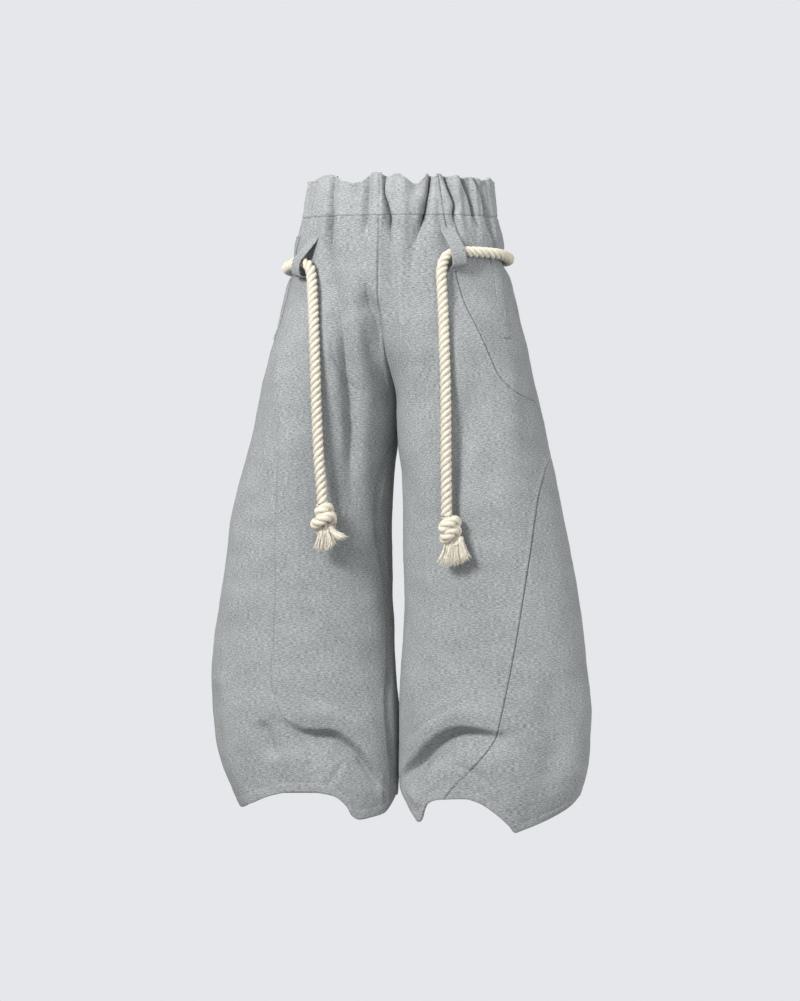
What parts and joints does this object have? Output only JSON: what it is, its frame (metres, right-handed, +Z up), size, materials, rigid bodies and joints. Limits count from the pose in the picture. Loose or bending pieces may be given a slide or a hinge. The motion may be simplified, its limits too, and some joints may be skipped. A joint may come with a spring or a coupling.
{
  "type": "wide leg pants",
  "caption": "Wide leg sweatshirt-fleece pants with a ruffled elastic waist, curved barrel seams, slanted pockets and a knotted rope belt held in belt loops, open at waist and hems.",
  "frame": {"origin": "middle of the waistband, on the axis of the waist, where the wearer holds the pants up", "axes": "+Z up, -Y to the wearer's front, +X to the wearer's left"},
  "size_m": [0.6054, 0.2911, 1.0043],
  "materials": {
    "fleece_grey": "soft heather grey knit fleece",
    "band_grey": "soft heather grey knit fleece, gathered",
    "cotton_rope": "cream twisted cotton"
  },
  "bodies": {
    "root": {"waistband": "band_grey", "front_left": "fleece_grey", "back_left": "fleece_grey", "pocket_welt_left": "fleece_grey", "front_right": "fleece_grey", "back_right": "fleece_grey", "pocket_welt_right": "fleece_grey", "belt_loop_left": "fleece_grey", "belt_loop_right": "fleece_grey", "belt_loop_back": "fleece_grey", "rope_waist": "cotton_rope", "rope_end_left": "cotton_rope", "rope_end_right": "cotton_rope", "knot_left": "cotton_rope", "tassel_left": "cotton_rope", "knot_right": "cotton_rope", "tassel_right": "cotton_rope"}
  },
  "joints": []
}
